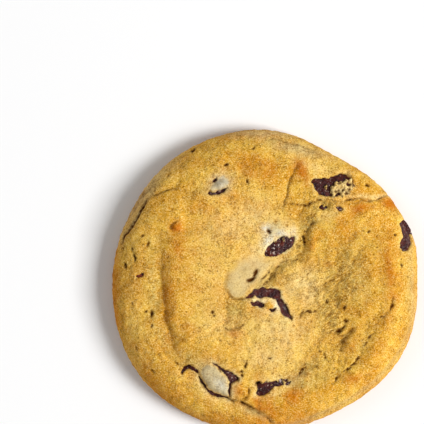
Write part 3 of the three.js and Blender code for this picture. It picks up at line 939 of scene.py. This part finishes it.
# Each mask over the top, over the edge band and over the underside, where one number may do. The
# band takes up what the rim above it has, and the underside is evenly browned by the sheet.
rim_browned_and_shaded, rim_pale, rim_dusty_and_highlight = (np.tile(kind[top_rim], UNDER_RINGS) for kind in (browned_and_shaded, pale, dusty_and_highlight))
DOUGH_MASKS = {
    "browned_and_shaded": (browned_and_shaded, 0.5 * rim_browned_and_shaded + 0.45, 0.75 + 0.25 * lumps(base_places, 9, 80)),
    "pale": (pale, 0.3 * rim_pale, 0),
    "olive_and_shade": (olive_and_shade, 0.1, 0.1),
    "dusty_and_highlight": (dusty_and_highlight, 0.6 * rim_dusty_and_highlight, 0),
    "floured": (floured, 0, 0),
    "gritty": (gritty, 0.3, 0.5),
    "smooth": (smooth, 0, 0),
    "crevice_shade": (crevice_shade, 0.1, base_pore_shade),
    "smeared": (opened, 0, base_opened),
}
for name, (top, band, base) in DOUGH_MASKS.items():
    band = np.broadcast_to(band, band_count)
    base = np.broadcast_to(base, len(base_places))
    write_mask(dough_mesh, name, np.concatenate([top, band, base]))


def put(name, data):
    """A new object in the scene, with this mesh, light or camera."""
    thing = bpy.data.objects.new(name, data)
    bpy.context.scene.collection.objects.link(thing)
    return thing


def new_material(name):
    """An empty material's tree with its shader and output."""
    material = bpy.data.materials.new(name)
    material.use_nodes = True
    tree = material.node_tree
    tree.nodes.clear()
    output = tree.nodes.new("ShaderNodeOutputMaterial")
    shader = tree.nodes.new("ShaderNodeBsdfPrincipled")
    tree.links.new(shader.outputs["BSDF"], output.inputs["Surface"])
    return material, tree, shader


def noise(tree, size, detail=2.0, roughness=0.5, stretch=1.0, turn=0.0):
    """Noise over the piece, with lumps about size millimetres across, drawn out by stretch along
    turn, which is in degrees from +X. Returns its value socket."""
    place = tree.nodes.new("ShaderNodeTexCoord")
    mapping = tree.nodes.new("ShaderNodeMapping")
    mapping.vector_type = "TEXTURE"
    mapping.inputs["Rotation"].default_value = (0, 0, math.radians(turn))
    mapping.inputs["Scale"].default_value = (size * MM * stretch, size * MM, size * MM)
    texture = tree.nodes.new("ShaderNodeTexNoise")
    texture.inputs["Scale"].default_value = 1.0
    texture.inputs["Detail"].default_value = detail
    texture.inputs["Roughness"].default_value = roughness
    tree.links.new(place.outputs["Object"], mapping.inputs["Vector"])
    tree.links.new(mapping.outputs["Vector"], texture.inputs["Vector"])
    return texture.outputs["Fac"]


def remap(tree, value, low, high, to_low=0.0, to_high=1.0):
    """Value's range from low to high, carried to another range and clamped there."""
    node = tree.nodes.new("ShaderNodeMapRange")
    node.inputs["From Min"].default_value = low
    node.inputs["From Max"].default_value = high
    node.inputs["To Min"].default_value = to_low
    node.inputs["To Max"].default_value = to_high
    tree.links.new(value, node.inputs["Value"])
    return node.outputs["Result"]


def combine(tree, operation, first, second, clamp=False):
    """Two values, or a value and a number, through a math node."""
    node = tree.nodes.new("ShaderNodeMath")
    node.operation = operation
    node.use_clamp = clamp
    for socket, value in zip(node.inputs, (first, second)):
        if isinstance(value, (int, float)):
            socket.default_value = value
        else:
            tree.links.new(value, socket)
    return node.outputs["Value"]


def times(tree, *values):
    """The product of values, each a socket or a number."""
    product = values[0]
    for value in values[1:]:
        product = combine(tree, "MULTIPLY", product, value)
    return product


def blend(tree, share, under, over):
    """Colour over laid on colour under by share. Either colour may be a socket or RGB numbers."""
    node = tree.nodes.new("ShaderNodeMix")
    node.data_type = "RGBA"
    node.clamp_result = True
    tree.links.new(share, node.inputs[0])
    for socket, colour in zip((node.inputs[6], node.inputs[7]), (under, over)):
        if isinstance(colour, tuple):
            socket.default_value = (*colour, 1)
        else:
            tree.links.new(colour, socket)
    return node.outputs[2]


def mask(tree, name):
    """A mask written on the mesh's points."""
    node = tree.nodes.new("ShaderNodeAttribute")
    node.attribute_name = name
    return node.outputs["Fac"]


def srgb(red, green, blue):
    """A colour in display values from 0 to 255, as the linear numbers that shaders take."""
    shares = [value / 255 for value in (red, green, blue)]
    return tuple(v / 12.92 if v <= 0.04045 else ((v + 0.055) / 1.055) ** 2.4 for v in shares)


GOLD = srgb(238, 189, 72)
HONEY = srgb(218, 155, 36)
TOAST_BROWN_AND_SHADE = srgb(194, 106, 0)
CREAM = srgb(250, 228, 162)
LIT_GRAIN = srgb(255, 226, 150)
SHADED_GRAIN = srgb(170, 112, 0)
OLIVE_CRUMB_AND_SHADE = srgb(178, 154, 82)
DUSTY_CRUMB_AND_HIGHLIGHT = srgb(206, 188, 144)
FLOUR = srgb(238, 238, 222)
PORE_SHADE = srgb(128, 76, 0)
SHADE = srgb(80, 40, 4)
MELTED = srgb(58, 28, 20)


def add_bump(tree, shader, height, strength, distance):
    """Fine relief from a height that goes from 0 to 1. Distance is in millimetres."""
    bump = tree.nodes.new("ShaderNodeBump")
    bump.inputs["Strength"].default_value = strength
    bump.inputs["Distance"].default_value = distance * MM
    tree.links.new(height, bump.inputs["Height"])
    tree.links.new(bump.outputs["Normal"], shader.inputs["Normal"])


def wandering_lines(tree, value, solid, gone):
    """Thin lines where a noise passes through its middle: 1 up to solid away from it, 0 from gone."""
    away = combine(tree, "ABSOLUTE", combine(tree, "SUBTRACT", value, 0.5), 0)
    return remap(tree, away, solid, gone, 1, 0)


dough_material, tree, shader = new_material("baked_dough")

# The crust: golden where plain, toasted where it browned, and paler, duller, drier or dusted with
# flour where its masks say so, all in soft blotches. The toasted and dull colours also lay painted
# shade on the left edge and in the valleys and hollows, and the dry colour a painted highlight
# along the upper-left fold and, in part, along the skirt.
warmth = remap(tree, noise(tree, 6, detail=3), 0.38, 0.62)
colour = blend(tree, warmth, GOLD, HONEY)
mottle = remap(tree, noise(tree, 2.6, detail=4, roughness=0.65), 0.35, 0.65, -0.2, 0.25)
toast_and_shade = combine(tree, "ADD", remap(tree, mask(tree, "browned_and_shaded"), 0, 0.9), mottle, clamp=True)
colour = blend(tree, toast_and_shade, colour, TOAST_BROWN_AND_SHADE)
patchy = noise(tree, 1.5, detail=4, roughness=0.6)
cream = combine(tree, "MULTIPLY", mask(tree, "pale"), remap(tree, patchy, 0.35, 0.6, 0.55, 1.15), clamp=True)
colour = blend(tree, cream, colour, CREAM)
drab_and_shade = combine(tree, "MULTIPLY", mask(tree, "olive_and_shade"), remap(tree, patchy, 0.6, 0.35, 0.5, 1.2), clamp=True)
colour = blend(tree, drab_and_shade, colour, OLIVE_CRUMB_AND_SHADE)
colour = blend(tree, mask(tree, "dusty_and_highlight"), colour, DUSTY_CRUMB_AND_HIGHLIGHT)
scattered = remap(tree, noise(tree, 0.9, detail=3, roughness=0.65), 0.3, 0.6, 0.35, 1)
colour = blend(tree, times(tree, mask(tree, "floured"), scattered), colour, FLOUR)

# Fine crumb: sandy grains a third of a millimetre across, lighter and darker, partly the crumb's
# own speckle and partly painted highlight and painted shade on the grains.
grain = noise(tree, 0.34, detail=2, roughness=0.75)
roughness = remap(tree, mask(tree, "smooth"), 0, 1, 1, 0.55)
unbrowned = remap(tree, mask(tree, "browned_and_shaded"), 0.2, 1, 1, 0.15)
lit = times(tree, remap(tree, grain, 0.5, 0.7, 0, 0.8), roughness, unbrowned)
colour = blend(tree, lit, colour, LIT_GRAIN)
unlit = times(tree, remap(tree, grain, 0.48, 0.3, 0, 0.95), roughness)
colour = blend(tree, unlit, colour, SHADED_GRAIN)

# Pores, one to a cell at most and ragged, and short wandering cracks, dark with painted shade. They
# are most common where gritty, where the cracks run together the way that the dough was drawn out.
PORE_SPACING = 0.9
PORE_RADIUS = 0.36  # as a share of the spacing
PORE_JITTER = 1.1
JITTER_SIZE = 0.6
place = tree.nodes.new("ShaderNodeTexCoord")
jitter = tree.nodes.new("ShaderNodeTexNoise")
jitter.inputs["Scale"].default_value = 1 / (JITTER_SIZE * MM)
tree.links.new(place.outputs["Object"], jitter.inputs["Vector"])
jittered = tree.nodes.new("ShaderNodeVectorMath")
jittered.operation = "MULTIPLY_ADD"
jittered.inputs[1].default_value = (PORE_JITTER * MM, PORE_JITTER * MM, PORE_JITTER * MM)
tree.links.new(jitter.outputs["Color"], jittered.inputs[0])
tree.links.new(place.outputs["Object"], jittered.inputs[2])
cells = tree.nodes.new("ShaderNodeTexVoronoi")
cells.inputs["Scale"].default_value = 1 / (PORE_SPACING * MM)
tree.links.new(jittered.outputs["Vector"], cells.inputs["Vector"])
chance = tree.nodes.new("ShaderNodeSeparateColor")
tree.links.new(cells.outputs["Color"], chance.inputs["Color"])
reach = remap(tree, chance.outputs["Red"], 0.5, 1, 0, PORE_RADIUS)
pore = remap(tree, combine(tree, "SUBTRACT", reach, cells.outputs["Distance"]), 0, 0.08)
pore = times(tree, pore, remap(tree, mask(tree, "gritty"), 0, 1, 0.6, 0.95), roughness)
hairline = wandering_lines(tree, noise(tree, 1.0, detail=3, roughness=0.6), 0.012, 0.04)
somewhere = remap(tree, noise(tree, 2.4), 0.5, 0.6)
hairline = times(tree, hairline, somewhere, roughness, 0.6)
drawn = wandering_lines(tree, noise(tree, 0.8, stretch=2.4, turn=45), 0.02, 0.06)
among = remap(tree, noise(tree, 2.2), 0.45, 0.56)
drawn = times(tree, drawn, among, mask(tree, "gritty"), 0.75)
fine_dark = combine(tree, "MAXIMUM", pore, combine(tree, "MAXIMUM", hairline, drawn))
colour = blend(tree, fine_dark, colour, PORE_SHADE)

# Painted shade in the creases, cracks, pits, pores and under the tongue's edge, and melted
# chocolate smeared in the openings.
colour = blend(tree, mask(tree, "crevice_shade"), colour, SHADE)
colour = blend(tree, times(tree, mask(tree, "smeared"), 0.9), colour, MELTED)
tree.links.new(colour, shader.inputs["Base Color"])
tree.links.new(remap(tree, grain, 0.3, 0.7, 0.95, 0.75), shader.inputs["Roughness"])
shader.inputs["Specular IOR Level"].default_value = 0.02
relief = combine(tree, "SUBTRACT", grain, times(tree, fine_dark, 0.8))
add_bump(tree, shader, relief, strength=0.55, distance=0.22)

dough_mesh.materials.append(dough_material)
dough = put("cookie_dough", dough_mesh)
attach(dough, "root")
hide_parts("dough")

# ---------------------------------------------------------------------------------------------
# The chips in the top and the edge: drops of dark chocolate that softened in the oven and set
# again. Each lies in the dough with its flat end up, and shows where the crust opened over it.
# ---------------------------------------------------------------------------------------------

CHIP_STEPS = 56
CHIP_EDGE = 0.8  # how far its rim lies below its flat end
CHIP_SHOULDER = 6  # how far out the flat end stays level
CHIP_TAPER = 1.6  # how blunt its hidden point is
RIM_LIMIT = 0.992  # chips' points stay just inside the widest line, where the top stands upright
chip_x, chip_y, chip_quads, chip_rim = disc_grid(CHIP_STEPS)
chip_reach = np.hypot(chip_x, chip_y)

TOP_CHIPS = {
    # x, y, half length, half width, turn, depth, how far it lies under the crust's level, how
    # crumbled its top is, how much of it baked to a reddish brown
    "chip_upper_right": (17.2, 25.2, 6.3, 4.2, 12, 5.5, 0.45, 0.4, 0.1),
    "chip_upper_right_fragment": (17.1, 19.3, 4.4, 1.8, -4, 3, 0.5, 0.5, 0.2),
    "chip_centre": (3.8, 9.3, 5.2, 3.4, 31, 5, 0.35, 1.0, 0.3),
    "chip_hooked": (0.9, -5.3, 8.6, 4.9, -24, 5.5, 0.45, 0.2, 0.15),
    "chip_right_edge": (36.9, 11.7, 5, 2.6, 98, 4, 0.3, 0.4, 0.15),
    "chip_bottom": (2.3, -27.7, 6, 3.2, 16, 5, 0.4, 0.8, 0.1),
    "chip_lower_left": (-11.9, -26, 7.6, 5, -52, 5.5, 0.55, 0.4, 0.1),
    "chip_lower_left_sliver": (-19.1, -23.5, 3.6, 2, 8, 3, 0.45, 0.3, 0.1),
    "chip_upper_left": (-12.2, 24.7, 4.4, 3.6, 42, 4.5, 0.5, 0.3, 0),
    "chip_left_fleck": (-32.5, 1.6, 2.1, 1.2, 12, 2, 0.35, 0.3, 1.0),
}


def crust_point(x, y):
    """The plain crust's place over x, y, its outward direction there, and the share of the
    outline's radius."""
    direction = np.arctan2(y, x)
    share = np.clip(np.hypot(x, y) / outline_radius(direction), 0, RIM_LIMIT)
    walk = np.interp(share, side_share, side_walked)
    slope = np.interp(walk, side_walked, side_slope)
    normal = outward(direction, slope)
    return points(x, y, plain_top(share)), normal, share


def laid_oval(place, swell=1.0):
    """The chip grid's points laid in an oval. Place is x, y, half length, half width, turn."""
    at_x, at_y, half_length, half_width, turn = place
    turned = math.radians(turn)
    x = at_x + (chip_x * half_length * math.cos(turned) - chip_y * half_width * math.sin(turned)) * swell
    y = at_y + (chip_x * half_length * math.sin(turned) + chip_y * half_width * math.cos(turned)) * swell
    return x, y


DARK = srgb(40, 10, 12)
MILKY = srgb(76, 28, 27)
RED_BROWN = srgb(120, 50, 26)
CRUSHED_AND_GLINT = srgb(224, 204, 190)

# The chocolate: dark with milkier blotches, reddish where it baked hard, and pale-specked where
# crushed, the pale specks partly crumb and bloom and partly painted glints.
chocolate_material, tree, shader = new_material("dark_chocolate")
patchy = remap(tree, noise(tree, 1.5, detail=4, roughness=0.6), 0.4, 0.7)
colour = blend(tree, patchy, DARK, MILKY)
reddish = times(tree, remap(tree, noise(tree, 1.6, detail=3), 0.45, 0.6, 0, 2), mask(tree, "reddened"))
colour = blend(tree, combine(tree, "MINIMUM", reddish, 1.0), colour, RED_BROWN)
specks_and_glints = remap(tree, noise(tree, 0.7, detail=2, roughness=0.6), 0.62, 0.67)
colour = blend(tree, times(tree, specks_and_glints, mask(tree, "crumbled"), 0.8), colour, CRUSHED_AND_GLINT)
tree.links.new(colour, shader.inputs["Base Color"])
tree.links.new(remap(tree, noise(tree, 0.7), 0.3, 0.7, 0.2, 0.42), shader.inputs["Roughness"])
shader.inputs["Specular IOR Level"].default_value = 0.22
add_bump(tree, shader, noise(tree, 0.5, detail=3, roughness=0.6), strength=0.9, distance=0.3)


def chip_piece(name, upper, lower, crumbled, reddened):
    """A closed chip from an upper and a lower face that share the chip grid and its rim."""
    count = len(upper)
    body = np.setdiff1d(np.arange(count), chip_rim)
    lower_index = np.arange(count)
    lower_index[body] = count + np.arange(len(body))
    faces = [tuple(map(int, quad)) for quad in chip_quads]
    faces += [tuple(int(lower_index[v]) for v in quad[::-1]) for quad in chip_quads]
    mesh = smooth_mesh(name, np.vstack([upper, lower[body]]), faces)
    mesh.materials.append(chocolate_material)
    write_mask(mesh, "crumbled", np.full(len(mesh.vertices), crumbled))
    write_mask(mesh, "reddened", np.full(len(mesh.vertices), reddened))
    piece = put(name, mesh)
    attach(piece, "root")
    return piece


for number, (name, values) in enumerate(TOP_CHIPS.items()):
    *place, depth, sunk, crumbled, reddened = values
    x, y = laid_oval(place)
    plain, normal, share = crust_point(x, y)
    level = soft_relief(x, y) * (1 - share**EDGE_SHARPNESS) - sunk
    level += 0.16 * lumps(plain, 2.2, 90 + number)
    level += (0.07 + 0.1 * crumbled) * lumps(plain, 0.9, 91 + number)
    level += 0.16 * crumbled * lumps(plain, 0.5, 92 + number)
    upper = plain + normal * (level - CHIP_EDGE * chip_reach**CHIP_SHOULDER)[:, None]
    lower = plain + normal * (level - CHIP_EDGE - depth * (1 - chip_reach**CHIP_TAPER))[:, None]
    piece = chip_piece(name + "_chocolate", upper, lower, crumbled, reddened)
    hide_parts(name)

# ---------------------------------------------------------------------------------------------
# The chips in the underside: whole drops that sank to the sheet and set flat on it, level with
# the dough round them.
# ---------------------------------------------------------------------------------------------

BASE_CHIP_HEIGHT = 4.2
BASE_CHIP_EDGE = 0.6  # the height of its rim
BASE_CHIP_CLEAR = 0.08  # how far its flat end clears the sheet
BASE_CHIP_SHOULDER = 10
BASE_CHIP_TAPER = 1.8

for number, (name, place) in enumerate(BASE_CHIPS.items()):
    swell = 1 + 0.05 * lumps(points(chip_x * 2, chip_y * 2, number), 1.2, 100)
    x, y = laid_oval(place, swell)
    uneven = 0.05 * lumps(points(x, y, 0), 1.8, 101)
    flat = points(x, y, BASE_CHIP_CLEAR + uneven + 0.5 * chip_reach**BASE_CHIP_SHOULDER)
    raised = points(x, y, BASE_CHIP_EDGE + BASE_CHIP_HEIGHT * (1 - chip_reach**BASE_CHIP_TAPER))
    piece = chip_piece(name + "_chocolate", raised, flat, crumbled=0.1, reddened=0.1)
    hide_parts(name)

# ---------------------------------------------------------------------------------------------
# The studio: a plain pale floor under soft light from the right, seen from straight above
# through a long lens.
# ---------------------------------------------------------------------------------------------

FLOOR_HALF = 1.6  # metres, as are the lights' distances and sizes
FLOOR_GREY = 0.92
SKY_STRENGTH = 0.3
floor_mesh = bpy.data.meshes.new("floor")
corners = [(side * FLOOR_HALF, end * FLOOR_HALF, 0) for side, end in ((-1, -1), (1, -1), (1, 1), (-1, 1))]
floor_mesh.from_pydata(corners, [], [(0, 1, 2, 3)])
floor_material, tree, shader = new_material("pale_floor")
shader.inputs["Base Color"].default_value = (FLOOR_GREY, FLOOR_GREY, FLOOR_GREY, 1)
shader.inputs["Roughness"].default_value = 0.9
floor_mesh.materials.append(floor_material)
floor = put("floor", floor_mesh)

world = bpy.data.worlds.new("studio")
world.use_nodes = True
world.node_tree.nodes["Background"].inputs["Color"].default_value = (1, 1, 1, 1)
world.node_tree.nodes["Background"].inputs["Strength"].default_value = SKY_STRENGTH
bpy.context.scene.world = world


def soft_light(name, azimuth, elevation, distance, size, power):
    """A square soft light aimed at the cookie. Azimuth is counter-clockwise from +X, in degrees."""
    light = bpy.data.lights.new(name, "AREA")
    light.size = size
    light.energy = power
    lamp = put(name, light)
    turn, lift = math.radians(azimuth), math.radians(elevation)
    lamp.location = (
        distance * math.cos(turn) * math.cos(lift),
        distance * math.sin(turn) * math.cos(lift),
        distance * math.sin(lift),
    )
    lamp.rotation_euler = (math.pi / 2 - lift, 0, turn + math.pi / 2)


soft_light("key", azimuth=-10, elevation=45, distance=2.4, size=1.0, power=62)
soft_light("fill", azimuth=152, elevation=40, distance=2.4, size=1.6, power=8)

VIEW_WIDTH = 110.85 * MM  # what the camera takes in, at the height of the widest line
VIEW_CENTRE = (-13.66 * MM, 18.04 * MM)
LENS = 300  # millimetres, as is the sensor's width
SENSOR_WIDTH = 36
camera_data = bpy.data.cameras.new("camera")
camera_data.lens = LENS
camera_data.sensor_width = SENSOR_WIDTH
camera_data.dof.use_dof = False
camera = put("camera", camera_data)
camera.location = (*VIEW_CENTRE, EDGE_HEIGHT * MM + VIEW_WIDTH * LENS / SENSOR_WIDTH)
camera_data.clip_start = 0.01
camera_data.clip_end = 10
bpy.context.scene.camera = camera
bpy.context.scene.view_settings.view_transform = "Standard"
